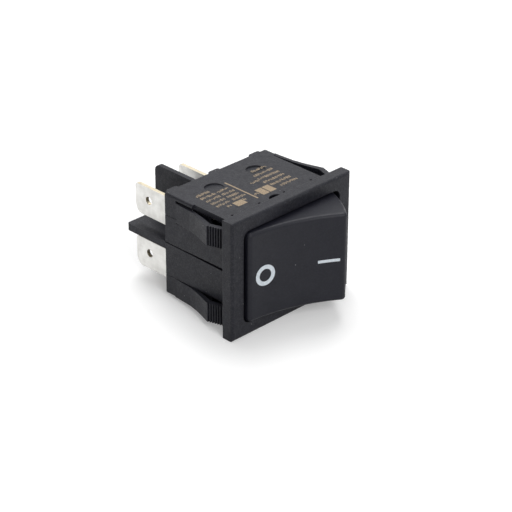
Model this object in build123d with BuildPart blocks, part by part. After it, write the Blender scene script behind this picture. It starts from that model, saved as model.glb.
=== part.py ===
from build123d import *
from math import asin, cos, pi, radians, sin, sqrt
import os

# Two-pole rocker switch for a panel cut-out, drawn with the O side of the rocker pressed.
# X runs along the long side (O end at -X), Y runs back to the terminals and Z is up.
# Y = 0 is the rear face of the bezel, the face that meets the panel. Millimetres.

# How far a cut runs past the face that it opens, and how far a boss is rooted in its wall.
CUT_OVER = 1.0
ROOT = 0.3

# Housing walls.
BODY_LENGTH = 27.5
BODY_HEIGHT = 22.0
BODY_DEPTH = 18.2
END_WALL = 0.95
LONG_WALL = 1.1
WALL_CORNER = 0.5

# Bezel and its opening.
BEZEL_SIDE = 2.3
BEZEL_ABOVE = 1.6
BEZEL_THICK = 2.6
BEZEL_ROUND = 0.6
OPENING_STEP = 0.25
OPENING_LEDGE = 0.05
OPENING_CORNER = 1.6

# Slit along the middle of each end wall, wider towards the bezel and not cut through.
SLIT_DEPTH = 0.6
SLIT_REAR = 0.26
SLIT_FRONT = 0.62
SLIT_DROP = 0.34
SLIT_TAPER_BACK = 5.2

# Lugs at the rear of the long walls, with hooks folded over the base.
LUG_WIDTH = 2.8
LUG_INSET = 2.7
LUG_SHIFT = -0.5
LUG_PROUD = 0.6
LUG_ROOT = 0.4
LUG_CORNER = 0.45
HOOK_REACH = 0.9
HOOK_SIDE = 0.4
HOOK_BACK = 0.12

# Shallow ejector marks and dimples on the long walls.
EJECTOR_X = 5.6
EJECTOR_BACK = 5.2
EJECTOR_R = 2.0
EJECTOR_LEAN = 4.5
EJECTOR_SINK = 0.03
DIMPLE_R = 0.27
DIMPLE_Y = 2.4
DIMPLE_DEPTH = 0.3
DIMPLE_XS = (-11.1, -4.0, 2.7, 10.1)

# Ribs inside the long walls, which the base seats against.
RIB_SHARES = (-0.7, -0.25, 0.25, 0.7)
RIB_SIZE = 1.2
RIB_PROUD = 0.55

# Snap wings. Points of a wing are given as distance out from the end wall and depth.
WING_ROOT_BACK = 3.0
WING_ROOT_BLEND = 0.5
WING_BACK_SLOPE = ((0.3, 11.1), (0.7, 9.1), (1.2, 7.3))
WING_PEAK = (2.15, 4.45)
WING_TIP = (1.0, 0.75)
WING_INNER_FACE = ((0.1, 0.75), (0.2, 2.1), (1.0, 4.6), (0.55, 6.4), (-0.3, 10.2))
WING_ROOT_INNER = -0.8
WING_GROOVES = 7
WING_GROOVE_DEPTH = 0.4
WING_GROOVE_SHARES = (0.3, 0.62, 0.95)

# Heights of the wings and their windows, as distances in from the long wall's outer face.
INNER_WING_DROPS = (5.4, 1.25)
OUTER_WING_DROPS = (4.15, 0.08)
WINDOW_GAP = 0.13
WINDOW_TOP_DROP = 0.68
SETBACK = 0.55
SETBACK_DEPTH = 10.6

# Fine lines of the mould on the end walls.
LINE_WIDTH = 0.14
LINE_DROP = 0.22
LINE_DEPTH = 0.22
LINE_END_BACK = 0.4
WITNESS_DEPTH = 0.1
WITNESS_LENGTH = 3.3
WITNESS_DROPS = (4.65, 4.28)

# Rocker, in its own level frame about the pivot.
PIVOT_Y = 0.6
TILT = 19.5
ROCKER_END_GAP = 0.55
ROCKER_SIDE_GAP = 0.4
ROCKER_CHORD_IN = 2.0
ROCKER_RISE = 7.98
ROCKER_SAG = 1.435
ROCKER_SHOULDER = (0.65, -3.4)
ROCKER_SKIRT = 3.1
ROCKER_WALL = 1.25
ROCKER_FACE = 1.5
ROCKER_ROUND = 0.75
ROCKER_END_ROUND = 0.85
HOLLOW_CORNER = (0.5, 0.9)
HOLLOW_SHOULDER = 0.6
WEB_THICK = 1.2
WEB_END = 1.2
TRUNNION_R = 1.57
TRUNNION_CLEARANCE = 0.05
TRUNNION_SLOT = 0.9
TRUNNION_SHORT = 0.5
TRUNNION_ROOT = 0.8
POCKET_PAST = 0.2
BARREL_R = 2.3
BARREL_END = 4.0
BARREL_ROOT = 0.5
BORE_R = 1.55
BORE_START = 0.1

# Marks set into the rocker's face, in the rocker's own frame.
MARK_DEPTH = 0.15
MARK_PROUD = 0.02
MARK_DROP = 0.28
RING_IN = 3.65
RING_R = 2.18
RING_STROKE = 0.86
BAR_IN = 3.42
BAR_LENGTH = 4.35
BAR_WIDTH = 0.6
BAR_CORNER = 0.12

# Plungers and springs, in the rocker's own frame.
PLUNGER_CLEARANCE = 0.05
PLUNGER_TIP_R = 1.0
PLUNGER_TIP_CENTRE = 6.5
PLUNGER_OPEN_END = 0.6
PLUNGER_SHOULDER = 4.6
PLUNGER_CONE = 0.9
PLUNGER_HOLE_R = 1.18
PLUNGER_HOLE_END = 4.5
SPRING_WIRE_R = 0.15
SPRING_R = 0.95
SPRING_PITCH = 0.92
SPRING_GAP = 0.02

# Blades.
BLADE_THICK = 0.6
BLADE_WIDTH = 4.4
BLADE_SWING = 8.8
BLADE_PAST_CONTACT = 1.6
BLADE_TAIL = 4.9
BLADE_BEND_R = 1.0
TROUGH_MARGIN = 4.0
PLUNGER_GAP = 0.03
RIDGE_R = 0.45
RIDGE_CLEARANCE = 0.03

# Contacts.
CONTACT_R = 1.6
CONTACT_HEAD = 0.9
CONTACT_DOME = 0.25
SHANK_R = 0.8
SHANK_CLEARANCE = 0.01
RIVET_R = 1.15
RIVET_THICK = 0.3
RIVET_BEVEL = 0.1
CONTACT_GAP = 0.03

# Terminals.
TAB_WIDTH = 6.3
TAB_THICK = 0.8
TAB_PAST = 10.6
TAB_HOLE_R = 0.85
TAB_HOLE_BACK = 3.97
TAB_HOLE_UP = 0.36
TAB_LOW_ROUND = 2.0
TAB_HIGH_ROUND = 0.9
TIP_BEVEL = 0.8
TIP_THIN = 0.18
TAB_EDGE_IN = 0.95
LINE_TAB_IN = 1.25
LINE_TAB_START = 1.2
FOOT_WIDTH = 4.8
FOOT_BEND_R = 0.3
FOOT_RISE = 2.4
FOOT_PAST_CONTACT = 0.3
CONTACT_IN = 3.15
PRONG_REACH = 1.2
PRONG_GAP = 0.12
SADDLE_EDGE = 0.1

# Base with its barriers.
BASE_THICK = 3.8
BASE_CLEARANCE = 0.03
BASE_CORNER = 0.45
SLOT_CLEARANCE = 0.03
SEAT_GAP = 0.02
BARRIER_PAST = 11.1
BARRIER_LOW_Z = -1.15
BARRIER_HIGH_Z = 0.38
BARRIER_CORNER = 0.5
BARRIER_ROOT_IN = 0.1
VERTICAL_SHORT = 0.52
VERTICAL_CORNER = 1.3
VERTICAL_SHIFT = 0.325
VERTICAL_THICK = 1.0
DIVIDER_SHORT = 3.3
DIVIDER_LEAD = 0.9
POST_LENGTH = 4.2
POST_SIDE = 0.3
RIVET_ROOM = 0.35
GUIDE_BACK = 1.6
GUIDE_THICK = 1.4
GUIDE_SIDE = 0.6
SCREEN_THICK = 0.45
SCREEN_LEAD = 8.0

# Positions that follow from the sizes above.
body_end = BODY_LENGTH / 2
body_top = BODY_HEIGHT / 2
chamber_end = body_end - END_WALL
chamber_top = body_top - LONG_WALL
opening_end = chamber_end + OPENING_STEP
opening_top = chamber_top - OPENING_LEDGE
wing_root_y = BODY_DEPTH - WING_ROOT_BACK
base_front_y = BODY_DEPTH - BASE_THICK
tab_end_y = BODY_DEPTH + TAB_PAST
barrier_end_y = BODY_DEPTH + BARRIER_PAST
line_tab_x = LINE_TAB_IN - chamber_end
contact_x = line_tab_x + CONTACT_IN
blade_reach = BLADE_PAST_CONTACT - contact_x
pole_z = chamber_top - TAB_WIDTH / 2 - TAB_EDGE_IN
POLES = (("upper", pole_z), ("lower", -pole_z))

rocker_half = opening_top - ROCKER_SIDE_GAP
rocker_skirt_x = chamber_end - ROCKER_END_GAP
rocker_chord_x = rocker_skirt_x - ROCKER_CHORD_IN
rocker_shoulder_x = rocker_skirt_x - ROCKER_SHOULDER[0]
face_radius = (rocker_chord_x**2 + ROCKER_SAG**2) / (2 * ROCKER_SAG)
face_centre_y = -ROCKER_RISE + ROCKER_SAG - face_radius
hollow_radius = face_radius + ROCKER_FACE
hollow_y = face_centre_y + hollow_radius

tilt = radians(TILT)
rocker_x_dir = (cos(tilt), -sin(tilt), 0)
rocker_y_dir = (sin(tilt), cos(tilt), 0)
rocker_plane = Plane(origin=(0, PIVOT_Y, 0), x_dir=rocker_x_dir, z_dir=(0, 0, 1))


def rocker_point(x, y, z=0.0):
    """A point given in the rocker's own level frame, carried to its tilted place."""
    return (
        x * rocker_x_dir[0] + y * rocker_y_dir[0],
        PIVOT_Y + x * rocker_x_dir[1] + y * rocker_y_dir[1],
        z,
    )


def back_plane(y):
    """A plane at depth y on which sketch x is X and sketch y is Z. Minus amounts go to the rear."""
    return Plane(origin=(0, y, 0), x_dir=(1, 0, 0), z_dir=(0, -1, 0))


# Blade geometry. The blade pivots on its back surface, behind the middle of the plunger's path.
# Seen from the blade, the plunger's tip runs along an arc, so the blade has a trough to match.
swing = radians(BLADE_SWING)
blade_y = PIVOT_Y + PLUNGER_TIP_CENTRE + PLUNGER_TIP_R + PLUNGER_GAP + BLADE_THICK
tip_x = PLUNGER_TIP_CENTRE * sin(tilt)
tip_y = PIVOT_Y + PLUNGER_TIP_CENTRE * cos(tilt) - blade_y
tip_in_blade = (tip_x * cos(swing) + tip_y * sin(swing), tip_y * cos(swing) - tip_x * sin(swing))
tip_drop = PIVOT_Y + PLUNGER_TIP_CENTRE - blade_y - tip_in_blade[1]
path_radius = (tip_in_blade[0] ** 2 + tip_drop**2) / (2 * tip_drop)
trough_angle = asin(tip_in_blade[0] / path_radius) + radians(TROUGH_MARGIN)
trough_mid_r = path_radius + PLUNGER_TIP_R + PLUNGER_GAP + BLADE_THICK / 2
trough_centre_y = -BLADE_THICK / 2 - trough_mid_r
bend_centre = (
    (trough_mid_r + BLADE_BEND_R) * sin(trough_angle),
    trough_centre_y + (trough_mid_r + BLADE_BEND_R) * cos(trough_angle),
)
blade_x_dir = (cos(swing), sin(swing), 0)
blade_back_dir = (-sin(swing), cos(swing), 0)
arm_x_dir = (cos(2 * swing), sin(2 * swing), 0)
arm_back_dir = (-sin(2 * swing), cos(2 * swing), 0)

# Where the arm lies when the blade is closed, and what the fixed contacts stand on.
arm_start = (-bend_centre[0] + BLADE_BEND_R * sin(swing), bend_centre[1] - BLADE_BEND_R * cos(swing))
closed_arm_y = blade_y + arm_start[1] * cos(swing) - arm_start[0] * sin(swing)
foot_y = closed_arm_y + BLADE_THICK / 2 + CONTACT_HEAD + CONTACT_GAP + CONTACT_HEAD
post_y = foot_y + TAB_THICK + SEAT_GAP


def blade_point(x, y, z):
    """A point in the blade's own frame about its pivot, carried to its open place."""
    return (
        x * blade_x_dir[0] + y * blade_back_dir[0],
        blade_y + x * blade_x_dir[1] + y * blade_back_dir[1],
        z,
    )


def blade_side(shift):
    """Points of the strip's face at a shift behind its middle line, from left end to right."""
    trough_r = trough_mid_r + shift
    bend_r = BLADE_BEND_R - shift
    half_turn = (trough_angle + swing) / 2
    right = [
        (trough_r * sin(trough_angle), trough_centre_y + trough_r * cos(trough_angle)),
        (bend_centre[0] - bend_r * sin(half_turn), bend_centre[1] - bend_r * cos(half_turn)),
        (bend_centre[0] - bend_r * sin(swing), bend_centre[1] - bend_r * cos(swing)),
    ]
    fall = sin(swing) / cos(swing)
    arm_x, arm_y = right[2]
    left_end = (-blade_reach, arm_y - (blade_reach - arm_x) * fall)
    right_end = (BLADE_TAIL, arm_y - (BLADE_TAIL - arm_x) * fall)
    left = [(-x, y) for x, y in reversed(right)]
    return [left_end, *left, (0, trough_centre_y + trough_r), *right, right_end]


def wing_outline(side):
    """Outline in X and Y of one wing, side is -1 or +1."""
    points = [(WING_ROOT_INNER, wing_root_y + WING_ROOT_BLEND), (0.0, wing_root_y + WING_ROOT_BLEND)]
    points += [(0.0, wing_root_y), *WING_BACK_SLOPE, WING_PEAK]
    run_x = WING_TIP[0] - WING_PEAK[0]
    run_y = WING_TIP[1] - WING_PEAK[1]
    run = sqrt(run_x**2 + run_y**2)
    dip_x = run_y / run * WING_GROOVE_DEPTH
    dip_y = -run_x / run * WING_GROOVE_DEPTH
    for index in range(WING_GROOVES):
        first, middle, last = ((index + share) / WING_GROOVES for share in WING_GROOVE_SHARES)
        points += [
            (WING_PEAK[0] + run_x * first, WING_PEAK[1] + run_y * first),
            (WING_PEAK[0] + run_x * middle + dip_x, WING_PEAK[1] + run_y * middle + dip_y),
            (WING_PEAK[0] + run_x * last, WING_PEAK[1] + run_y * last),
        ]
    points += [WING_TIP, *WING_INNER_FACE, (WING_ROOT_INNER, wing_root_y)]
    return [(side * (body_end + out), y) for out, y in points]


inner_wing = tuple(body_top - drop for drop in INNER_WING_DROPS)
outer_wing = tuple(body_top - drop for drop in OUTER_WING_DROPS)
WINGS = (
    (-1, inner_wing[0], inner_wing[1]),
    (-1, -outer_wing[1], -outer_wing[0]),
    (1, -inner_wing[1], -inner_wing[0]),
    (1, outer_wing[0], outer_wing[1]),
)
LUGS = [
    (side, side * (LUG_SHIFT + step * (body_end - LUG_INSET)))
    for side in (1, -1)
    for step in (-1, 0, 1)
]

os.makedirs("parts", exist_ok=True)

# Housing: bezel, walls and four snap wings in one moulding.
with BuildPart() as housing:
    with BuildSketch(back_plane(0)):
        Rectangle(BODY_LENGTH + 2 * BEZEL_SIDE, BODY_HEIGHT + 2 * BEZEL_ABOVE)
    extrude(amount=BEZEL_THICK)
    fillet(housing.faces().sort_by(Axis.Y)[0].edges(), BEZEL_ROUND)
    with BuildSketch(back_plane(0)):
        RectangleRounded(BODY_LENGTH, BODY_HEIGHT, WALL_CORNER)
    extrude(amount=-BODY_DEPTH)
    for side, lug_x in LUGS:
        with BuildSketch(Plane.XY.offset(side * chamber_top)):
            with Locations((lug_x, BODY_DEPTH - LUG_ROOT / 2)):
                RectangleRounded(LUG_WIDTH, 2 * LUG_PROUD + LUG_ROOT, LUG_CORNER)
        extrude(amount=side * LONG_WALL)
    # opening in the bezel and the chamber behind it
    with BuildSketch(back_plane(0)):
        RectangleRounded(2 * opening_end, 2 * opening_top, OPENING_CORNER)
    extrude(amount=BEZEL_THICK + CUT_OVER, mode=Mode.SUBTRACT)
    with BuildSketch(back_plane(0)):
        RectangleRounded(2 * chamber_end, 2 * chamber_top, WALL_CORNER)
    extrude(amount=-(BODY_DEPTH + LUG_PROUD + CUT_OVER), mode=Mode.SUBTRACT)
    # slots that carry the rocker's trunnions at their front end, blind under the bezel's rim
    for side in (1, -1):
        with BuildSketch(Plane.XY.offset(side * (chamber_top - CUT_OVER))):
            with Locations((0, PIVOT_Y + TRUNNION_SLOT / 2)):
                SlotCenterToCenter(
                    TRUNNION_SLOT,
                    2 * (TRUNNION_R + TRUNNION_CLEARANCE),
                    rotation=90,
                )
        extrude(amount=side * (LONG_WALL + POCKET_PAST + CUT_OVER), mode=Mode.SUBTRACT)
    # windows that free the wings from the end walls
    for side, low, high in WINGS:
        with BuildSketch(Plane.XY.offset(low - WINDOW_GAP)):
            with Locations((side * (body_end - END_WALL / 2), wing_root_y / 2)):
                Rectangle(END_WALL + ROOT, wing_root_y)
        extrude(amount=high - low + 2 * WINDOW_GAP, mode=Mode.SUBTRACT)
    # long walls cut back beside the inner wings so that they can bend
    for side in (1, -1):
        for end in (1, -1):
            with BuildSketch(Plane.XY.offset(side * inner_wing[1])):
                with Locations((end * body_end, SETBACK_DEPTH / 2)):
                    Rectangle(2 * SETBACK, SETBACK_DEPTH)
            extrude(amount=side * (INNER_WING_DROPS[1] + CUT_OVER), mode=Mode.SUBTRACT)
        # gap above the inner wing, and a fine line beside the edge
        with BuildSketch(Plane.XY.offset(-side * chamber_top)):
            with Locations((side * (body_end - SETBACK + CUT_OVER / 2), wing_root_y / 2)):
                Rectangle(CUT_OVER, wing_root_y)
        extrude(amount=-side * (LONG_WALL - WINDOW_TOP_DROP), mode=Mode.SUBTRACT)
        line_end = BODY_DEPTH - LINE_END_BACK
        with BuildSketch(Plane.XY.offset(-side * (body_top - LINE_DROP - LINE_WIDTH / 2))):
            with Locations((side * body_end, (SETBACK_DEPTH + line_end) / 2)):
                Rectangle(2 * LINE_DEPTH, line_end - SETBACK_DEPTH)
        extrude(amount=-side * LINE_WIDTH, mode=Mode.SUBTRACT)
    for side, low, high in WINGS:
        with BuildSketch(Plane.XY.offset(low)):
            with BuildLine():
                Polyline(*wing_outline(side), close=True)
            make_face()
        extrude(amount=high - low)
    # slit and witness lines on each end wall
    for side in (-1, 1):
        slit_z = -side * SLIT_DROP
        taper_y = BODY_DEPTH - SLIT_TAPER_BACK
        with BuildSketch(Plane.YZ.offset(side * (body_end - SLIT_DEPTH))):
            with BuildLine():
                Polyline(
                    (0.0, slit_z - SLIT_FRONT / 2),
                    (0.0, slit_z + SLIT_FRONT / 2),
                    (taper_y, slit_z + SLIT_REAR / 2),
                    (BODY_DEPTH + CUT_OVER, slit_z + SLIT_REAR / 2),
                    (BODY_DEPTH + CUT_OVER, slit_z - SLIT_REAR / 2),
                    (taper_y, slit_z - SLIT_REAR / 2),
                    close=True,
                )
            make_face()
        extrude(amount=side * (SLIT_DEPTH + CUT_OVER), mode=Mode.SUBTRACT)
        for sign, drop in zip((-side, side), WITNESS_DROPS):
            with BuildSketch(Plane.YZ.offset(side * (body_end - WITNESS_DEPTH))):
                with Locations((BODY_DEPTH - WITNESS_LENGTH / 2, sign * (body_top - drop))):
                    Rectangle(WITNESS_LENGTH, LINE_WIDTH)
            extrude(amount=side * CUT_OVER, mode=Mode.SUBTRACT)
    # round ejector marks, deepest at the rear, and dimples by the bezel
    lean = radians(EJECTOR_LEAN)
    for side in (1, -1):
        for end in (1, -1):
            disc = Plane(
                origin=(
                    end * EJECTOR_X,
                    BODY_DEPTH - EJECTOR_BACK - EJECTOR_R,
                    side * (body_top - EJECTOR_SINK),
                ),
                x_dir=(1, 0, 0),
                z_dir=(0, sin(lean), side * cos(lean)),
            )
            with BuildSketch(disc):
                with Locations((0, side * EJECTOR_R)):
                    Circle(EJECTOR_R)
            extrude(amount=CUT_OVER, mode=Mode.SUBTRACT)
        for dimple_x in DIMPLE_XS:
            with BuildSketch(Plane.XY.offset(side * (body_top - DIMPLE_DEPTH))):
                with Locations((side * dimple_x, DIMPLE_Y)):
                    Circle(DIMPLE_R)
            extrude(amount=side * CUT_OVER, mode=Mode.SUBTRACT)
        for share in RIB_SHARES:
            with BuildSketch(Plane.XY.offset(side * (chamber_top + ROOT))):
                with Locations((share * chamber_end, base_front_y - SEAT_GAP - RIB_SIZE / 2)):
                    Rectangle(RIB_SIZE, RIB_SIZE)
            extrude(amount=-side * (RIB_PROUD + ROOT))
    # inward hooks of the lugs, folded over the base's rear face
    hook_thick = LUG_PROUD - SEAT_GAP - HOOK_BACK
    for side, lug_x in LUGS:
        with BuildSketch(Plane.XY.offset(side * (chamber_top - HOOK_REACH))):
            with Locations((lug_x, BODY_DEPTH + SEAT_GAP + hook_thick / 2)):
                Rectangle(LUG_WIDTH - 2 * HOOK_SIDE, hook_thick)
        extrude(amount=side * (HOOK_REACH + ROOT))
housing.part.label = "housing"
export_step(housing.part, "parts/housing.step")


def face_arc(radius):
    """Start, middle and end of an arc about the rocker face's centre."""
    half = rocker_skirt_x
    end_y = face_centre_y + sqrt(radius**2 - half**2)
    return (-half, end_y), (0, face_centre_y + radius), (half, end_y)


# The thin layer of the rocker's face that the marks fill. It is a tool, not a piece.
mark_front = face_arc(face_radius - MARK_PROUD)
mark_back = face_arc(face_radius + MARK_DEPTH)
with BuildPart() as mark_layer:
    with BuildSketch(rocker_plane):
        with BuildLine():
            ThreePointArc(*mark_front)
            Line(mark_front[2], mark_back[2])
            ThreePointArc(*mark_back)
            Line(mark_back[0], mark_front[0])
        make_face()
    extrude(amount=rocker_half, both=True)

mark_plane = Plane(
    origin=rocker_point(0, -ROCKER_RISE - CUT_OVER),
    x_dir=rocker_x_dir,
    z_dir=rocker_y_dir,
)

with BuildPart() as o_mark:
    with BuildSketch(mark_plane):
        with Locations((RING_IN - rocker_chord_x, MARK_DROP)):
            Circle(RING_R)
            Circle(RING_R - RING_STROKE, mode=Mode.SUBTRACT)
    extrude(amount=ROCKER_RISE)
    add(mark_layer.part, mode=Mode.INTERSECT)
o_mark.part.label = "o_mark"
export_step(o_mark.part, "parts/o_mark.step")

with BuildPart() as i_mark:
    with BuildSketch(mark_plane):
        with Locations((rocker_chord_x - BAR_IN, MARK_DROP)):
            RectangleRounded(BAR_LENGTH, BAR_WIDTH, BAR_CORNER)
    extrude(amount=ROCKER_RISE)
    add(mark_layer.part, mode=Mode.INTERSECT)
i_mark.part.label = "i_mark"
export_step(i_mark.part, "parts/i_mark.step")

# Rocker.
corner = (rocker_chord_x, -ROCKER_RISE)
shoulder = (rocker_shoulder_x, ROCKER_SHOULDER[1])
skirt = (rocker_skirt_x, ROCKER_SKIRT)
hollow_span = rocker_chord_x - ROCKER_WALL
hollow_edge = (hollow_span, face_centre_y + sqrt(hollow_radius**2 - hollow_span**2))
hollow_corner = (
    rocker_shoulder_x - ROCKER_WALL - HOLLOW_CORNER[0],
    hollow_edge[1] + HOLLOW_CORNER[1],
)
hollow_shoulder = (rocker_shoulder_x - ROCKER_WALL, ROCKER_SHOULDER[1] + HOLLOW_SHOULDER)
hollow_end = (rocker_skirt_x - ROCKER_WALL, ROCKER_SKIRT + CUT_OVER)

with BuildPart() as rocker:
    with BuildSketch(rocker_plane):
        with BuildLine():
            ThreePointArc((-corner[0], corner[1]), (0, corner[1] + ROCKER_SAG), corner)
            ThreePointArc(corner, shoulder, skirt)
            Line(skirt, (-skirt[0], skirt[1]))
            ThreePointArc((-skirt[0], skirt[1]), (-shoulder[0], shoulder[1]), (-corner[0], corner[1]))
        make_face()
    extrude(amount=rocker_half, both=True)
    end_edges = ShapeList(
        edge
        for edge in rocker.edges().filter_by(Axis.Z)
        if rocker_plane.to_local_coords(edge.center()).Y < 0
    )
    fillet(end_edges, ROCKER_END_ROUND)
    side_faces = rocker.faces().filter_by(Axis.Z)
    rim_edges = ShapeList(
        edge
        for face in side_faces
        for edge in face.edges()
        if rocker_plane.to_local_coords(edge.center()).Y < ROCKER_SKIRT - ROCKER_ROUND
    )
    fillet(rim_edges, ROCKER_ROUND)
    # hollow inside, open to the rear
    with BuildSketch(rocker_plane):
        with BuildLine():
            ThreePointArc((-hollow_edge[0], hollow_edge[1]), (0, hollow_y), hollow_edge)
            Line(hollow_edge, hollow_corner)
            ThreePointArc(hollow_corner, hollow_shoulder, hollow_end)
            Line(hollow_end, (-hollow_end[0], hollow_end[1]))
            ThreePointArc(
                (-hollow_end[0], hollow_end[1]),
                (-hollow_shoulder[0], hollow_shoulder[1]),
                (-hollow_corner[0], hollow_corner[1]),
            )
            Line((-hollow_corner[0], hollow_corner[1]), (-hollow_edge[0], hollow_edge[1]))
        make_face()
    extrude(amount=rocker_half - ROCKER_WALL, both=True, mode=Mode.SUBTRACT)
    # cross web between the long walls
    with BuildSketch(rocker_plane):
        with Locations((0, (hollow_y - ROOT + WEB_END) / 2)):
            Rectangle(WEB_THICK, WEB_END - hollow_y + ROOT)
    extrude(amount=rocker_half - ROCKER_WALL / 2, both=True)
    # plunger barrels and their bores
    for pole_name, pole in POLES:
        barrel_plane = Plane(
            origin=rocker_point(0, hollow_y - BARREL_ROOT, pole),
            x_dir=rocker_x_dir,
            z_dir=rocker_y_dir,
        )
        with BuildSketch(barrel_plane):
            Circle(BARREL_R)
        extrude(amount=BARREL_END - hollow_y + BARREL_ROOT)
        with BuildSketch(barrel_plane.offset(BARREL_ROOT + BORE_START)):
            Circle(BORE_R)
        extrude(amount=BARREL_END - hollow_y + CUT_OVER, mode=Mode.SUBTRACT)
    for side in (1, -1):
        with BuildSketch(Plane.XY.offset(side * (rocker_half - TRUNNION_ROOT))):
            with Locations((0, PIVOT_Y)):
                Circle(TRUNNION_R)
        extrude(amount=side * (body_top - TRUNNION_SHORT - rocker_half + TRUNNION_ROOT))
    # shallow seats for the two marks
    add(o_mark.part, mode=Mode.SUBTRACT)
    add(i_mark.part, mode=Mode.SUBTRACT)
rocker.part.label = "rocker"
export_step(rocker.part, "parts/rocker.step")


def tip_outline(near, left):
    """Outline in X and Y of a tab seen on its edge, with the bevels that lead into a receptacle."""
    right = left + TAB_THICK
    return [
        (left, near),
        (left, tab_end_y - TIP_BEVEL),
        (left + TIP_THIN, tab_end_y),
        (right - TIP_THIN, tab_end_y),
        (right, tab_end_y - TIP_BEVEL),
        (right, near),
    ]


# Line terminals: a tab, bent over inside to carry the fixed contact.
tab_left = line_tab_x - TAB_THICK / 2
line_tab_start = foot_y + LINE_TAB_START
foot_right = contact_x + CONTACT_R + FOOT_PAST_CONTACT
for pole_name, pole in POLES:
    with BuildPart() as line_terminal:
        with BuildSketch(Plane.YZ.offset(tab_left)) as tab:
            with Locations(((line_tab_start + tab_end_y) / 2, pole)):
                Rectangle(tab_end_y - line_tab_start, TAB_WIDTH)
            fillet(tab.vertices().group_by(Axis.X)[-1].sort_by(Axis.Y)[0], TAB_LOW_ROUND)
            fillet(tab.vertices().group_by(Axis.Y)[-1].sort_by(Axis.X)[-1], TAB_HIGH_ROUND)
            with Locations((tab_end_y - TAB_HOLE_BACK, pole + TAB_HOLE_UP)):
                Circle(TAB_HOLE_R, mode=Mode.SUBTRACT)
        extrude(amount=TAB_THICK)
        with BuildSketch(Plane.XY.offset(pole)):
            with BuildLine():
                Polyline(*tip_outline(line_tab_start, tab_left), close=True)
            make_face()
        extrude(amount=TAB_WIDTH, both=True, mode=Mode.INTERSECT)
        with BuildSketch(Plane.XY.offset(pole - FOOT_WIDTH / 2)) as foot:
            with BuildLine():
                Polyline(
                    (tab_left, foot_y + FOOT_RISE),
                    (tab_left, foot_y),
                    (foot_right, foot_y),
                    (foot_right, foot_y + TAB_THICK),
                    (tab_left + TAB_THICK, foot_y + TAB_THICK),
                    (tab_left + TAB_THICK, foot_y + FOOT_RISE),
                    close=True,
                )
            make_face()
            outer = foot.vertices().sort_by_distance((tab_left, foot_y))[0]
            fillet(outer, FOOT_BEND_R + TAB_THICK)
            inner = foot.vertices().sort_by_distance((tab_left + TAB_THICK, foot_y + TAB_THICK))[0]
            fillet(inner, FOOT_BEND_R)
        extrude(amount=FOOT_WIDTH)
        with BuildSketch(back_plane(foot_y - CUT_OVER)):
            with Locations((contact_x, pole)):
                Circle(SHANK_R)
        extrude(amount=-(TAB_THICK + 2 * CUT_OVER), mode=Mode.SUBTRACT)
    line_terminal.part.label = f"line_terminal_{pole_name}"
    export_step(line_terminal.part, f"parts/line_terminal_{pole_name}.step")

# Load terminals: a flat tab whose grooved front edge is the saddle that the blade rocks in.
prong_y = blade_y - PRONG_REACH
for pole_name, pole in POLES:
    notch_half = BLADE_WIDTH / 2 + PRONG_GAP
    with BuildPart() as load_terminal:
        with BuildSketch(Plane.YZ.offset(-TAB_THICK / 2)) as tab:
            with Locations(((prong_y + tab_end_y) / 2, pole)):
                Rectangle(tab_end_y - prong_y, TAB_WIDTH)
            fillet(tab.vertices().group_by(Axis.X)[-1].sort_by(Axis.Y)[0], TAB_LOW_ROUND)
            fillet(tab.vertices().group_by(Axis.Y)[-1].sort_by(Axis.X)[-1], TAB_HIGH_ROUND)
            with Locations((tab_end_y - TAB_HOLE_BACK, pole + TAB_HOLE_UP)):
                Circle(TAB_HOLE_R, mode=Mode.SUBTRACT)
            with Locations((prong_y + (PRONG_REACH + SADDLE_EDGE - CUT_OVER) / 2, pole)):
                Rectangle(PRONG_REACH + SADDLE_EDGE + CUT_OVER, 2 * notch_half, mode=Mode.SUBTRACT)
        extrude(amount=TAB_THICK)
        with BuildSketch(Plane.XY.offset(pole)):
            with BuildLine():
                Polyline(*tip_outline(prong_y, -TAB_THICK / 2), close=True)
            make_face()
        extrude(amount=TAB_WIDTH, both=True, mode=Mode.INTERSECT)
        with BuildSketch(Plane.XY.offset(pole)):
            with Locations((0, blade_y)):
                Circle(RIDGE_R + RIDGE_CLEARANCE)
        extrude(amount=notch_half, both=True, mode=Mode.SUBTRACT)
    load_terminal.part.label = f"load_terminal_{pole_name}"
    export_step(load_terminal.part, f"parts/load_terminal_{pole_name}.step")


def rivet_outline(strip):
    """Half outline of a domed rivet through a strip: x is radius, y runs away from the head."""
    shank = SHANK_R - SHANK_CLEARANCE
    return [
        (0, -CONTACT_HEAD),
        (CONTACT_R * 0.55, -CONTACT_HEAD + CONTACT_DOME * 0.25),
        (CONTACT_R * 0.85, -CONTACT_HEAD + CONTACT_DOME * 0.65),
        (CONTACT_R, -CONTACT_HEAD + CONTACT_DOME),
        (CONTACT_R, 0),
        (shank, 0),
        (shank, strip),
        (RIVET_R, strip),
        (RIVET_R - RIVET_BEVEL, strip + RIVET_THICK),
        (0, strip + RIVET_THICK),
    ]


# Fixed contacts: a domed silver rivet in each line terminal's foot.
for pole_name, pole in POLES:
    with BuildPart() as fixed_contact:
        rivet_plane = Plane(origin=(contact_x, foot_y, pole), x_dir=(1, 0, 0), z_dir=(0, 0, 1))
        with BuildSketch(rivet_plane):
            with BuildLine():
                Polyline(*rivet_outline(TAB_THICK), close=True)
            make_face()
        revolve(axis=Axis((contact_x, foot_y, pole), (0, 1, 0)), revolution_arc=360)
    fixed_contact.part.label = f"fixed_contact_{pole_name}"
    export_step(fixed_contact.part, f"parts/fixed_contact_{pole_name}.step")

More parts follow.
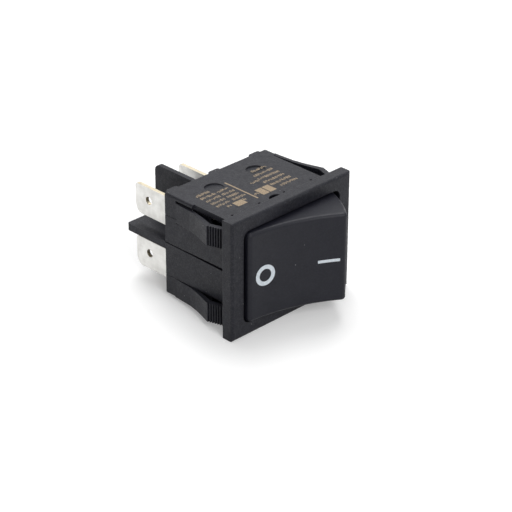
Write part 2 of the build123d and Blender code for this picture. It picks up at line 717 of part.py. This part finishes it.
# Blades: formed copper strips with a ridge that rocks in the saddle, drawn open.
back_side = blade_side(BLADE_THICK / 2)
near_side = blade_side(-BLADE_THICK / 2)
arm_mid_y = closed_arm_y - blade_y
contact_mid = (
    contact_x * cos(swing) - arm_mid_y * sin(swing),
    contact_x * sin(swing) + arm_mid_y * cos(swing),
)
contact_seat = (
    contact_mid[0] - BLADE_THICK / 2 * sin(swing),
    contact_mid[1] + BLADE_THICK / 2 * cos(swing),
)
for pole_name, pole in POLES:
    blade_plane = Plane(origin=(0, blade_y, pole), x_dir=blade_x_dir, z_dir=(0, 0, 1))
    with BuildPart() as blade:
        with BuildSketch(blade_plane):
            with BuildLine():
                for side in (back_side, near_side):
                    Line(side[0], side[1])
                    ThreePointArc(side[1], side[2], side[3])
                    ThreePointArc(side[3], side[4], side[5])
                    ThreePointArc(side[5], side[6], side[7])
                    Line(side[7], side[8])
                Line(back_side[0], near_side[0])
                Line(back_side[8], near_side[8])
            make_face()
            Circle(RIDGE_R)
        extrude(amount=BLADE_WIDTH / 2, both=True)
        with BuildSketch(
            Plane(
                origin=blade_point(*contact_mid, pole),
                x_dir=arm_x_dir,
                z_dir=arm_back_dir,
            )
        ):
            Circle(SHANK_R)
        extrude(amount=CUT_OVER, both=True, mode=Mode.SUBTRACT)
    blade.part.label = f"blade_{pole_name}"
    export_step(blade.part, f"parts/blade_{pole_name}.step")

# Moving contacts: a domed silver rivet near the end of each blade, facing the fixed one.
for pole_name, pole in POLES:
    seat = blade_point(*contact_seat, pole)
    head_side = tuple(-value for value in arm_back_dir)
    with BuildPart() as moving_contact:
        seat_plane = Plane(origin=seat, x_dir=tuple(-value for value in arm_x_dir), z_dir=(0, 0, 1))
        with BuildSketch(seat_plane):
            with BuildLine():
                Polyline(*rivet_outline(BLADE_THICK), close=True)
            make_face()
        revolve(axis=Axis(seat, head_side), revolution_arc=360)
    moving_contact.part.label = f"moving_contact_{pole_name}"
    export_step(moving_contact.part, f"parts/moving_contact_{pole_name}.step")

# Plungers: nylon cups that slide in the rocker's barrels.
plunger_r = BORE_R - PLUNGER_CLEARANCE
tip_end = PLUNGER_TIP_CENTRE + PLUNGER_TIP_R
for pole_name, pole in POLES:
    with BuildPart() as plunger:
        with BuildSketch(Plane(origin=(0, PIVOT_Y, pole), x_dir=rocker_x_dir, z_dir=(0, 0, 1))):
            with BuildLine():
                Polyline(
                    (0, tip_end),
                    (0, PLUNGER_HOLE_END),
                    (PLUNGER_HOLE_R, PLUNGER_HOLE_END),
                    (PLUNGER_HOLE_R, PLUNGER_OPEN_END),
                    (plunger_r, PLUNGER_OPEN_END),
                    (plunger_r, PLUNGER_SHOULDER),
                    (PLUNGER_TIP_R, PLUNGER_SHOULDER + PLUNGER_CONE),
                    (PLUNGER_TIP_R, PLUNGER_TIP_CENTRE),
                )
                ThreePointArc(
                    (PLUNGER_TIP_R, PLUNGER_TIP_CENTRE),
                    (
                        PLUNGER_TIP_R * cos(pi / 4),
                        PLUNGER_TIP_CENTRE + PLUNGER_TIP_R * sin(pi / 4),
                    ),
                    (0, tip_end),
                )
            make_face()
        revolve(axis=Axis((0, PIVOT_Y, pole), rocker_y_dir), revolution_arc=360)
    plunger.part.label = f"plunger_{pole_name}"
    export_step(plunger.part, f"parts/plunger_{pole_name}.step")

# Springs: wound wire between each bore's end and its plunger.
spring_start = hollow_y + BORE_START + SPRING_WIRE_R + SPRING_GAP
spring_end = PLUNGER_HOLE_END - SPRING_WIRE_R - SPRING_GAP
for pole_name, pole in POLES:
    with BuildPart() as spring:
        with BuildLine() as coil:
            Helix(
                pitch=SPRING_PITCH,
                height=spring_end - spring_start,
                radius=SPRING_R,
                center=rocker_point(0, spring_start, pole),
                direction=rocker_y_dir,
            )
        with BuildSketch(Plane(origin=coil.line @ 0, z_dir=coil.line % 0)):
            Circle(SPRING_WIRE_R)
        sweep(is_frenet=True)
    spring.part.label = f"spring_{pole_name}"
    export_step(spring.part, f"parts/spring_{pole_name}.step")

# Base: board that closes the rear, with posts inside and barriers outside.
base_half_x = chamber_end - BASE_CLEARANCE
base_half_z = chamber_top - BASE_CLEARANCE
slot_thick = TAB_THICK + 2 * SLOT_CLEARANCE
slot_width = TAB_WIDTH + 2 * SLOT_CLEARANCE
barrier_height = BARRIER_HIGH_Z - BARRIER_LOW_Z
ledge_y = BODY_DEPTH + SEAT_GAP
root_y = BODY_DEPTH - ROOT
root_x = base_half_x - BARRIER_ROOT_IN
root_z = base_half_z - BARRIER_ROOT_IN
vertical_end_y = barrier_end_y - VERTICAL_SHORT
vertical_x = line_tab_x / 2 - VERTICAL_SHIFT - VERTICAL_THICK / 2

with BuildPart() as base:
    with BuildSketch(back_plane(base_front_y)):
        RectangleRounded(2 * base_half_x, 2 * base_half_z, BASE_CORNER)
    extrude(amount=-BASE_THICK)
    # divider between the poles inside
    with BuildSketch(back_plane(foot_y - DIVIDER_LEAD)):
        with Locations((0, (BARRIER_LOW_Z + BARRIER_HIGH_Z) / 2)):
            Rectangle(2 * (chamber_end - DIVIDER_SHORT), barrier_height)
    extrude(amount=-(base_front_y - foot_y + DIVIDER_LEAD + ROOT))
    for pole_name, pole in POLES:
        # post under the fixed contact, hollowed for the riveted shank
        with BuildSketch(back_plane(post_y)):
            with Locations((contact_x, pole)):
                Rectangle(POST_LENGTH, FOOT_WIDTH + 2 * POST_SIDE)
                Circle(RIVET_R + RIVET_ROOM, mode=Mode.SUBTRACT)
        extrude(amount=-(base_front_y - post_y + ROOT))
        # guides either side of the load terminal
        for side in (1, -1):
            with BuildSketch(back_plane(blade_y + GUIDE_BACK)):
                with Locations((side * (slot_thick + GUIDE_THICK) / 2, pole)):
                    Rectangle(GUIDE_THICK, TAB_WIDTH + 2 * GUIDE_SIDE)
            extrude(amount=-(base_front_y - blade_y - GUIDE_BACK + ROOT))
    # screens between the live parts and the wings' windows
    for side in (1, -1):
        with BuildSketch(back_plane(base_front_y - SCREEN_LEAD)):
            with Locations((side * (base_half_x - SCREEN_THICK / 2), 0)):
                Rectangle(SCREEN_THICK, 2 * (base_half_z - BASE_CORNER))
        extrude(amount=-(SCREEN_LEAD + ROOT))
    # level barrier behind the board, wider where it clears the housing's end walls
    with BuildSketch(Plane.XY.offset(BARRIER_LOW_Z)):
        with Locations((0, (root_y + barrier_end_y - BARRIER_CORNER) / 2)):
            Rectangle(2 * root_x, barrier_end_y - BARRIER_CORNER - root_y)
        with BuildLine():
            Polyline(
                (-body_end, ledge_y),
                (-body_end, barrier_end_y - BARRIER_CORNER),
                (-body_end + BARRIER_CORNER * 0.3, barrier_end_y - BARRIER_CORNER * 0.3),
                (-body_end + BARRIER_CORNER, barrier_end_y),
                (body_end - BARRIER_CORNER, barrier_end_y),
                (body_end - BARRIER_CORNER * 0.3, barrier_end_y - BARRIER_CORNER * 0.3),
                (body_end, barrier_end_y - BARRIER_CORNER),
                (body_end, ledge_y),
                close=True,
            )
        make_face()
    extrude(amount=barrier_height)
    # upright barrier between the line and load tabs
    upright = [
        (root_y, root_z),
        (ledge_y, root_z),
        (ledge_y, body_top),
        (vertical_end_y, body_top),
    ]
    with BuildSketch(Plane.YZ.offset(vertical_x)) as barrier:
        with BuildLine():
            Polyline(*upright, *[(y, -z) for y, z in reversed(upright)], close=True)
        make_face()
        fillet(barrier.vertices().group_by(Axis.X)[-1], VERTICAL_CORNER)
    extrude(amount=VERTICAL_THICK)
    # slots for the four tabs
    for pole_name, pole in POLES:
        for slot_x in (line_tab_x, 0.0):
            with BuildSketch(back_plane(foot_y)):
                with Locations((slot_x, pole)):
                    Rectangle(slot_thick, slot_width)
            extrude(amount=-(BODY_DEPTH - foot_y + CUT_OVER), mode=Mode.SUBTRACT)
base.part.label = "base"
export_step(base.part, "parts/base.step")
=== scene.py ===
"""Looks of a two-pole panel rocker switch: materials, print, floor, light and camera."""
import math
import random

import bpy
from mathutils import Matrix, Vector


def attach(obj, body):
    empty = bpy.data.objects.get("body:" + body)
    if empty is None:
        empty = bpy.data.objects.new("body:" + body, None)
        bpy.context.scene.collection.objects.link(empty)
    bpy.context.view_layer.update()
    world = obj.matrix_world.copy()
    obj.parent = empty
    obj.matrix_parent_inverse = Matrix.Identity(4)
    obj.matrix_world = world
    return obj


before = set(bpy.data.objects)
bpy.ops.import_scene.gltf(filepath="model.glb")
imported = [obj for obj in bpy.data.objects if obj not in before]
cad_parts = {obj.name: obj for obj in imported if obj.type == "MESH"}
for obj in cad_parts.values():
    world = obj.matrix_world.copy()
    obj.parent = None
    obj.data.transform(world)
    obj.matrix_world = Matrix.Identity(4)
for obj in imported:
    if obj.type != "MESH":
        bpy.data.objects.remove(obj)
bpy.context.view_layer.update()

MM = 0.001

# Camera, from a fit of the model's corners to the photograph (512 pixels wide).
PHOTO_WIDTH_PX = 512
SENSOR_MM = 36.0
FOCAL_PX = 2079.331
AZIMUTH = math.radians(-44.96)
ELEVATION = math.radians(28.537)
ROLL = math.radians(0.233)
CAMERA_DISTANCE = 399.393 * MM
CAMERA_RIGHT = -5.094 * MM
CAMERA_UP = -0.85 * MM
CLIP_START = 0.02
CLIP_END = 20.0

# The switch lies on the rear lower edge of its bezel and on the end of its lower barrier.
FRONT_FOOT = (0.0, -12.6 * MM)
REAR_FOOT = (28.8 * MM, -11.0 * MM)
FLOOR_HALF = 1.6

# Light levels. A strength of 1 shows as white.
WORLD_LIGHT = 0.36
BACKGROUND = 1.0
KEY_WATTS = 7.0
KEY_PLACE = (0.26, 0.28, 0.90)
KEY_SIZE = 0.6
FILL_WATTS = 4.7
FILL_PLACE = (-0.25, -0.85, 0.70)
FILL_SIZE = 0.5
FLOOR_GLOW = 0.27

# Colours are linear RGB.
FLOOR_SEEN = (0.80, 0.80, 0.80)
FLOOR_PALE = (0.43, 0.43, 0.44)
FLOOR_DIM = (0.39, 0.39, 0.40)
NYLON_DARK = (0.0040, 0.0043, 0.0080)
NYLON_LIGHT = (0.0080, 0.0084, 0.0140)
# Painted highlight: a lighter colour laid along the housing's edges, standing in for the sheen of
# rounded edges.
NYLON_EDGE_HIGHLIGHT = (0.040, 0.040, 0.047)
NYLON_GRAIN = (0.0250, 0.0260, 0.0330)
ROCKER_DARK = (0.0056, 0.0059, 0.0108)
ROCKER_LIGHT = (0.0085, 0.0090, 0.0150)
# Painted highlight: a lighter colour laid along the rocker's edges, standing in for the sheen of
# rounded edges.
ROCKER_EDGE_HIGHLIGHT = (0.070, 0.071, 0.079)
ROCKER_GRAIN = (0.0110, 0.0115, 0.0185)
DUST = (0.30, 0.30, 0.31)
MARK_WHITE = (0.86, 0.93, 0.98)
MARK_SHADE = (0.72, 0.79, 0.85)
TIN_LIGHT = (0.80, 0.795, 0.77)
TIN_DARK = (0.61, 0.60, 0.57)
BRASS_EDGE = (0.50, 0.41, 0.22)
SILVER_LIGHT = (0.86, 0.85, 0.82)
SILVER_DARK = (0.60, 0.58, 0.55)
COPPER_LIGHT = (0.82, 0.43, 0.27)
COPPER_DARK = (0.50, 0.22, 0.13)
NATURAL_LIGHT = (0.66, 0.62, 0.52)
NATURAL_DARK = (0.52, 0.48, 0.39)
STEEL_LIGHT = (0.62, 0.62, 0.61)
STEEL_DARK = (0.36, 0.36, 0.36)
PRINT_LIGHT = (0.36, 0.27, 0.17)
PRINT_DARK = (0.17, 0.125, 0.075)

# Texture of the moulded nylon. Sizes are in millimetres.
CLOUD_MM = 4.0
SPECKLE_MM = 0.34
DUST_SPACING_MM = 2.3
DUST_COVER = 0.75
GLOSS_PATCH_MM = 1.2
RIPPLE_MM = 2.5
RIPPLE_DEPTH = 0.012
SOFT_EDGE_MM = 0.14
NYLON_SPECULAR = 0.27

# Print on the top wall: plain bars only, in millimetres.
# A row is its place in Y with its two ends in X, and a field is x0, y0, x1, y1.
TOP_Z = 11.0
PRINT_LIFT = 0.012
BAR_HEIGHT = 0.78
STROKE_WIDTHS = (0.16, 0.22, 0.30, 0.18)
STROKE_DROPS = (0.0, 0.0, 0.12, 0.26)
STROKE_GAP = 0.16
PRINT_SEED = 7
PRINT_ROWS = (
    (12.6, -10.8, -7.1),
    (11.2, -10.8, -7.1), (11.2, -6.6, -3.5),
    (9.8, -10.8, -7.1), (9.8, -6.6, -3.3),
    (8.35, -10.8, -7.1), (8.35, -6.6, -3.5),
    (6.95, -10.8, -7.1), (6.95, -6.6, -3.2),
    (5.6, -9.3, -8.2), (5.6, -5.1, -4.5),
    (12.9, 4.3, 8.3),
    (11.2, 3.3, 8.6),
    (9.6, 3.0, 8.6),
    (8.0, 2.8, 8.6),
    (6.4, 3.1, 8.7),
    (4.9, 4.3, 8.7),
    (9.35, 0.7, 2.7),
    (5.5, -2.2, -1.2),
)
DIVIDER = (-2.83, 4.05, -2.48, 13.2)
FIELDS = (
    (-7.7, 4.15, -5.3, 5.95),
    (-0.9, 4.25, 0.75, 6.85),
    (1.0, 4.25, 2.65, 6.85),
)


class Nodes:
    """A material's node tree, with short calls for the nodes used here."""

    def __init__(self, name):
        self.material = bpy.data.materials.new(name)
        self.material.use_nodes = True
        self.tree = self.material.node_tree
        self.tree.nodes.clear()
        self.output = self.add("ShaderNodeOutputMaterial")
        self.shader = self.add("ShaderNodeBsdfPrincipled")
        self.link(self.shader.outputs["BSDF"], self.output.inputs["Surface"])
        self.place = self.add("ShaderNodeTexCoord").outputs["Object"]

    def add(self, kind, **settings):
        node = self.tree.nodes.new(kind)
        for key, value in settings.items():
            setattr(node, key, value)
        return node

    def link(self, source, target):
        self.tree.links.new(source, target)

    def stretched(self, scale):
        node = self.add("ShaderNodeMapping")
        node.inputs["Scale"].default_value = scale
        self.link(self.place, node.inputs["Vector"])
        return node.outputs["Vector"]

    def noise(self, size_mm, detail=3.0, place=None):
        node = self.add("ShaderNodeTexNoise")
        node.inputs["Scale"].default_value = 1.0 / (size_mm * MM)
        node.inputs["Detail"].default_value = detail
        self.link(place or self.place, node.inputs["Vector"])
        return node.outputs["Fac"]

    def ramp(self, source, stops):
        node = self.add("ShaderNodeValToRGB")
        elements = node.color_ramp.elements
        while len(elements) < len(stops):
            elements.new(0.5)
        for element, (place, colour) in zip(elements, stops):
            element.position = place
            element.color = (*colour, 1.0)
        self.link(source, node.inputs["Fac"])
        return node.outputs["Color"]

    def spread(self, source, low, high, to_low, to_high):
        node = self.add("ShaderNodeMapRange")
        node.inputs["From Min"].default_value = low
        node.inputs["From Max"].default_value = high
        node.inputs["To Min"].default_value = to_low
        node.inputs["To Max"].default_value = to_high
        self.link(source, node.inputs["Value"])
        return node.outputs["Result"]

    def mix(self, factor, first, second):
        node = self.add("ShaderNodeMix", data_type="RGBA")
        colours = [socket for socket in node.inputs if socket.type == "RGBA"]
        self.link(factor, node.inputs["Factor"])
        for socket, value in zip(colours, (first, second)):
            if isinstance(value, tuple):
                socket.default_value = (*value, 1.0)
            else:
                self.link(value, socket)
        return [socket for socket in node.outputs if socket.type == "RGBA"][0]

    def edge(self, radius_mm, low, high):
        """1 on a sharp or tightly rounded edge and 0 on the faces beside it."""
        bevel = self.add("ShaderNodeBevel", samples=6)
        bevel.inputs["Radius"].default_value = radius_mm * MM
        facing = self.add("ShaderNodeVectorMath", operation="DOT_PRODUCT")
        self.link(bevel.outputs["Normal"], facing.inputs[0])
        self.link(self.add("ShaderNodeNewGeometry").outputs["Normal"], facing.inputs[1])
        return self.spread(facing.outputs["Value"], low, high, 1.0, 0.0)

    def relief(self, heights, radius_mm=0.0):
        """Bumps of (source, depth in mm), over edges softened to a radius."""
        normal = None
        if radius_mm:
            bevel = self.add("ShaderNodeBevel", samples=6)
            bevel.inputs["Radius"].default_value = radius_mm * MM
            normal = bevel.outputs["Normal"]
        for source, depth_mm in heights:
            bump = self.add("ShaderNodeBump")
            bump.inputs["Strength"].default_value = 1.0
            bump.inputs["Distance"].default_value = depth_mm * MM
            self.link(source, bump.inputs["Height"])
            if normal:
                self.link(normal, bump.inputs["Normal"])
            normal = bump.outputs["Normal"]
        self.link(normal, self.shader.inputs["Normal"])

    def set(self, **values):
        for key, value in values.items():
            self.shader.inputs[key.replace("_", " ")].default_value = value

    def colour(self, source):
        self.link(source, self.shader.inputs["Base Color"])

    def roughness(self, source):
        self.link(source, self.shader.inputs["Roughness"])


def moulded(name, dark, light, grain, edge_highlight_colour, rough, grain_mm, grain_depth, edge_mm):
    """Black nylon: faint clouding, spark-eroded grain, painted highlights along the edges and a few
    dust specks.
    """
    n = Nodes(name)
    cloud = n.ramp(n.noise(CLOUD_MM, 4.0), ((0.30, dark), (0.72, light)))
    speckle = n.spread(n.noise(SPECKLE_MM, 4.0), 0.46, 0.74, 0.0, 1.0)
    grained = n.mix(speckle, cloud, grain)
    # Painted highlight: edges within edge_mm take the lighter edge colour, as if lit.
    edge_highlighted = n.mix(n.edge(edge_mm, 0.80, 0.99), grained, edge_highlight_colour)
    specks = n.add("ShaderNodeTexVoronoi")
    specks.inputs["Scale"].default_value = 1.0 / (DUST_SPACING_MM * MM)
    n.link(n.place, specks.inputs["Vector"])
    dust = n.spread(specks.outputs["Distance"], 0.030, 0.045, DUST_COVER, 0.0)
    n.colour(n.mix(dust, edge_highlighted, DUST))
    n.roughness(n.spread(n.noise(GLOSS_PATCH_MM, 5.0), 0.3, 0.7, rough - 0.05, rough + 0.06))
    grain_relief = (n.noise(grain_mm, 2.0), grain_depth)
    ripple_relief = (n.noise(RIPPLE_MM, 2.0), RIPPLE_DEPTH)
    n.relief((grain_relief, ripple_relief), SOFT_EDGE_MM)
    n.set(Specular_IOR_Level=NYLON_SPECULAR)
    return n.material


def mark_material():
    """White second-shot plastic with a faint grain and a greyer rim."""
    n = Nodes("white_mark")
    face = n.ramp(n.noise(0.5, 4.0), ((0.32, MARK_SHADE), (0.62, MARK_WHITE)))
    n.colour(n.mix(n.edge(0.10, 0.75, 0.99), face, MARK_SHADE))
    n.roughness(n.spread(n.noise(0.3), 0.3, 0.7, 0.42, 0.58))
    n.relief(((n.noise(0.16, 2.0), 0.008),), 0.06)
    return n.material


def tab_material():
    """Tin-plated brass strip: matte rolled faces with brass showing on the sheared edges."""
    n = Nodes("plated_tab")
    along = n.stretched((1.0, 0.06, 1.0))
    rolled = n.noise(0.22, 4.0, along)
    blotches = n.noise(1.8, 5.0)
    face = n.mix(n.spread(blotches, 0.35, 0.70, 0.0, 0.75), TIN_LIGHT, TIN_DARK)
    normal = n.add("ShaderNodeSeparateXYZ")
    n.link(n.add("ShaderNodeTexCoord").outputs["Normal"], normal.inputs["Vector"])
    across = n.add("ShaderNodeMath", operation="ABSOLUTE")
    n.link(normal.outputs["X"], across.inputs[0])
    sheared = n.spread(across.outputs["Value"], 0.25, 0.60, 0.62, 0.0)
    n.colour(n.mix(sheared, face, BRASS_EDGE))
    n.roughness(n.spread(rolled, 0.3, 0.7, 0.36, 0.56))
    n.relief(((rolled, 0.006), (n.noise(0.9, 3.0), 0.010)), 0.08)
    n.set(Metallic=0.85)
    return n.material


def metal(name, light, dark, rough, size_mm, stretch, depth_mm):
    """Bare metal with drawn or coined lines and patches of tarnish."""
    n = Nodes(name)
    lines = n.noise(size_mm, 4.0, n.stretched(stretch))
    tarnish = n.spread(n.noise(1.1, 5.0), 0.40, 0.72, 0.0, 0.8)
    n.colour(n.mix(tarnish, light, dark))
    n.roughness(n.spread(lines, 0.3, 0.7, rough - 0.08, rough + 0.10))
    n.relief(((lines, depth_mm),), 0.04)
    n.set(Metallic=1.0)
    return n.material


def natural_nylon():
    """Uncoloured nylon of the plungers, a little translucent."""
    n = Nodes("plunger_nylon")
    n.colour(n.ramp(n.noise(0.9, 4.0), ((0.32, NATURAL_DARK), (0.66, NATURAL_LIGHT))))
    n.roughness(n.spread(n.noise(0.4), 0.3, 0.7, 0.34, 0.48))
    n.relief(((n.noise(0.2, 2.0), 0.006),), 0.08)
    n.set(Subsurface_Weight=0.2, Subsurface_Scale=0.6 * MM)
    return n.material


def print_material():
    """Pad-printed ink that thins out in places over the plastic's grain."""
    n = Nodes("print_tan")
    n.colour(n.ramp(n.noise(0.22, 5.0), ((0.34, PRINT_DARK), (0.60, PRINT_LIGHT))))
    n.roughness(n.spread(n.noise(0.3), 0.3, 0.7, 0.50, 0.66))
    n.relief(((n.noise(0.16, 2.0), 0.006),))
    return n.material


def shown_rays(tree):
    """1 for a ray from the camera, in a reflection or through glass, and 0 for a bounce of light."""
    path = tree.nodes.new("ShaderNodeLightPath")
    total = path.outputs["Is Camera Ray"]
    for kind in ("Is Glossy Ray", "Is Transmission Ray"):
        both = tree.nodes.new("ShaderNodeMath")
        both.operation = "ADD"
        both.use_clamp = True
        tree.links.new(total, both.inputs[0])
        tree.links.new(path.outputs[kind], both.inputs[1])
        total = both.outputs["Value"]
    return total


def floor_material():
    """White sweep that shows pale and takes the shadow."""
    n = Nodes("floor")
    n.tree.nodes.remove(n.shader)
    shown = shown_rays(n.tree)
    paper = n.ramp(n.noise(60.0), ((0.3, FLOOR_DIM), (0.7, FLOOR_PALE)))
    diffuse = n.add("ShaderNodeBsdfDiffuse")
    n.link(n.mix(shown, paper, FLOOR_SEEN), diffuse.inputs["Color"])
    glow = n.add("ShaderNodeEmission")
    n.link(n.spread(shown, 0.0, 1.0, 0.0, FLOOR_GLOW), glow.inputs["Strength"])
    both = n.add("ShaderNodeAddShader")
    n.link(diffuse.outputs["BSDF"], both.inputs[0])
    n.link(glow.outputs["Emission"], both.inputs[1])
    n.link(both.outputs["Shader"], n.output.inputs["Surface"])
    return n.material


def dress_nodes():
    """Gives each CAD node its material."""
    housing_colours = (NYLON_DARK, NYLON_LIGHT, NYLON_GRAIN, NYLON_EDGE_HIGHLIGHT)
    rocker_colours = (ROCKER_DARK, ROCKER_LIGHT, ROCKER_GRAIN, ROCKER_EDGE_HIGHLIGHT)
    black = moulded(
        "black_nylon", *housing_colours, rough=0.50, grain_mm=0.24, grain_depth=0.055, edge_mm=0.16
    )
    base_black = moulded(
        "base_nylon", *housing_colours, rough=0.54, grain_mm=0.22, grain_depth=0.040, edge_mm=0.14
    )
    rocker_black = moulded(
        "rocker_nylon", *rocker_colours, rough=0.46, grain_mm=0.18, grain_depth=0.012, edge_mm=0.22
    )
    white = mark_material()
    tin = tab_material()
    silver = metal("contact_silver", SILVER_LIGHT, SILVER_DARK, 0.34, 0.12, (1.0, 1.0, 1.0), 0.004)
    copper = metal("blade_copper", COPPER_LIGHT, COPPER_DARK, 0.32, 0.10, (0.08, 1.0, 1.0), 0.004)
    steel = metal("spring_steel", STEEL_LIGHT, STEEL_DARK, 0.30, 0.05, (1.0, 1.0, 1.0), 0.002)
    natural = natural_nylon()
    finish_of = {
        "housing": black, "base": base_black, "rocker": rocker_black,
        "mark": white, "terminal": tin, "contact": silver, "blade": copper,
        "plunger": natural, "spring": steel,
    }
    for name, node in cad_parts.items():
        material = next(finish for key, finish in finish_of.items() if key in name)
        node.data.materials.clear()
        node.data.materials.append(material)


def flat_piece(name, rectangles, z_mm, material):
    """One thin flat mesh of rectangles (x0, y0, x1, y1) in mm, printed on the top wall."""
    points, faces = [], []
    for x0, y0, x1, y1 in rectangles:
        first = len(points)
        points += [(x * MM, y * MM, z_mm * MM) for x, y in ((x0, y0), (x1, y0), (x1, y1), (x0, y1))]
        faces.append(range(first, first + 4))
    mesh = bpy.data.meshes.new(name)
    mesh.from_pydata(points, [], [list(face) for face in faces])
    mesh.materials.append(material)
    piece = bpy.data.objects.new(name, mesh)
    bpy.context.scene.collection.objects.link(piece)
    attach(piece, "switch_body")
    return piece


def broken_bar(y, x0, x1, dice):
    """A row of short upright strokes that fills a line of print without forming letters."""
    strokes = []
    x = x0
    while x < x1 - min(STROKE_WIDTHS):
        width = min(dice.choice(STROKE_WIDTHS), x1 - x)
        low = y - BAR_HEIGHT / 2 + dice.choice(STROKE_DROPS)
        high = y + BAR_HEIGHT / 2 - dice.choice(STROKE_DROPS)
        strokes.append((x, low, x + width, high))
        x += width + STROKE_GAP
    return strokes


def print_on_top():
    """Plain rows, a divider and plain fields where the real switch carries its data."""
    ink = print_material()
    dice = random.Random(PRINT_SEED)
    rows = [stroke for row in PRINT_ROWS for stroke in broken_bar(*row, dice)]
    z = TOP_Z + PRINT_LIFT
    flat_piece("print_rows", rows, z, ink)
    flat_piece("print_divider", (DIVIDER,), z, ink)
    flat_piece("print_fields", FIELDS, z, ink)


def make_camera():
    """Camera at the photograph's viewpoint."""
    back = Vector((
        math.sin(AZIMUTH) * math.cos(ELEVATION),
        -math.cos(AZIMUTH) * math.cos(ELEVATION),
        math.sin(ELEVATION),
    ))
    right = (-back).cross(Vector((0, 0, 1))).normalized()
    up = right.cross(-back)
    turned_right = right * math.cos(ROLL) + up * math.sin(ROLL)
    turned_up = up * math.cos(ROLL) - right * math.sin(ROLL)
    data = bpy.data.cameras.new("camera")
    data.sensor_width = SENSOR_MM
    data.lens = FOCAL_PX * SENSOR_MM / PHOTO_WIDTH_PX
    data.clip_start = CLIP_START
    data.clip_end = CLIP_END
    camera = bpy.data.objects.new("camera", data)
    place = back * CAMERA_DISTANCE + turned_right * CAMERA_RIGHT + turned_up * CAMERA_UP
    axes = Matrix((turned_right, turned_up, back)).transposed()
    camera.matrix_world = Matrix.Translation(place) @ axes.to_4x4()
    bpy.context.scene.collection.objects.link(camera)
    bpy.context.scene.camera = camera


def make_floor():
    """Floor through the two lines that the switch rests on."""
    (y0, z0), (y1, z1) = FRONT_FOOT, REAR_FOOT
    slope = (z1 - z0) / (y1 - y0)
    corners = [
        (x * FLOOR_HALF, y * FLOOR_HALF, z0 + slope * (y * FLOOR_HALF - y0))
        for x, y in ((-1, -1), (1, -1), (1, 1), (-1, 1))
    ]
    mesh = bpy.data.meshes.new("floor")
    mesh.from_pydata(corners, [], [(0, 1, 2, 3)])
    mesh.materials.append(floor_material())
    floor = bpy.data.objects.new("floor", mesh)
    bpy.context.scene.collection.objects.link(floor)


def softbox(name, place, size, watts):
    """Square area lamp aimed at the switch."""
    data = bpy.data.lights.new(name, "AREA")
    data.size = size
    data.energy = watts
    lamp = bpy.data.objects.new(name, data)
    lamp.location = place
    lamp.rotation_euler = (-Vector(place)).to_track_quat("-Z", "Y").to_euler()
    bpy.context.scene.collection.objects.link(lamp)


def make_light():
    """Even studio light, with a large softbox overhead and a weak one from the front left."""
    softbox("key", KEY_PLACE, KEY_SIZE, KEY_WATTS)
    softbox("fill", FILL_PLACE, FILL_SIZE, FILL_WATTS)
    world = bpy.data.worlds.new("studio")
    bpy.context.scene.world = world
    world.use_nodes = True
    tree = world.node_tree
    background = tree.nodes["Background"]
    background.inputs["Color"].default_value = (1.0, 1.0, 1.0, 1.0)
    level = tree.nodes.new("ShaderNodeMapRange")
    level.inputs["To Min"].default_value = WORLD_LIGHT
    level.inputs["To Max"].default_value = BACKGROUND
    tree.links.new(shown_rays(tree), level.inputs["Value"])
    tree.links.new(level.outputs["Result"], background.inputs["Strength"])


bpy.context.scene.view_settings.view_transform = "Standard"
make_camera()
make_light()
make_floor()
dress_nodes()
print_on_top()
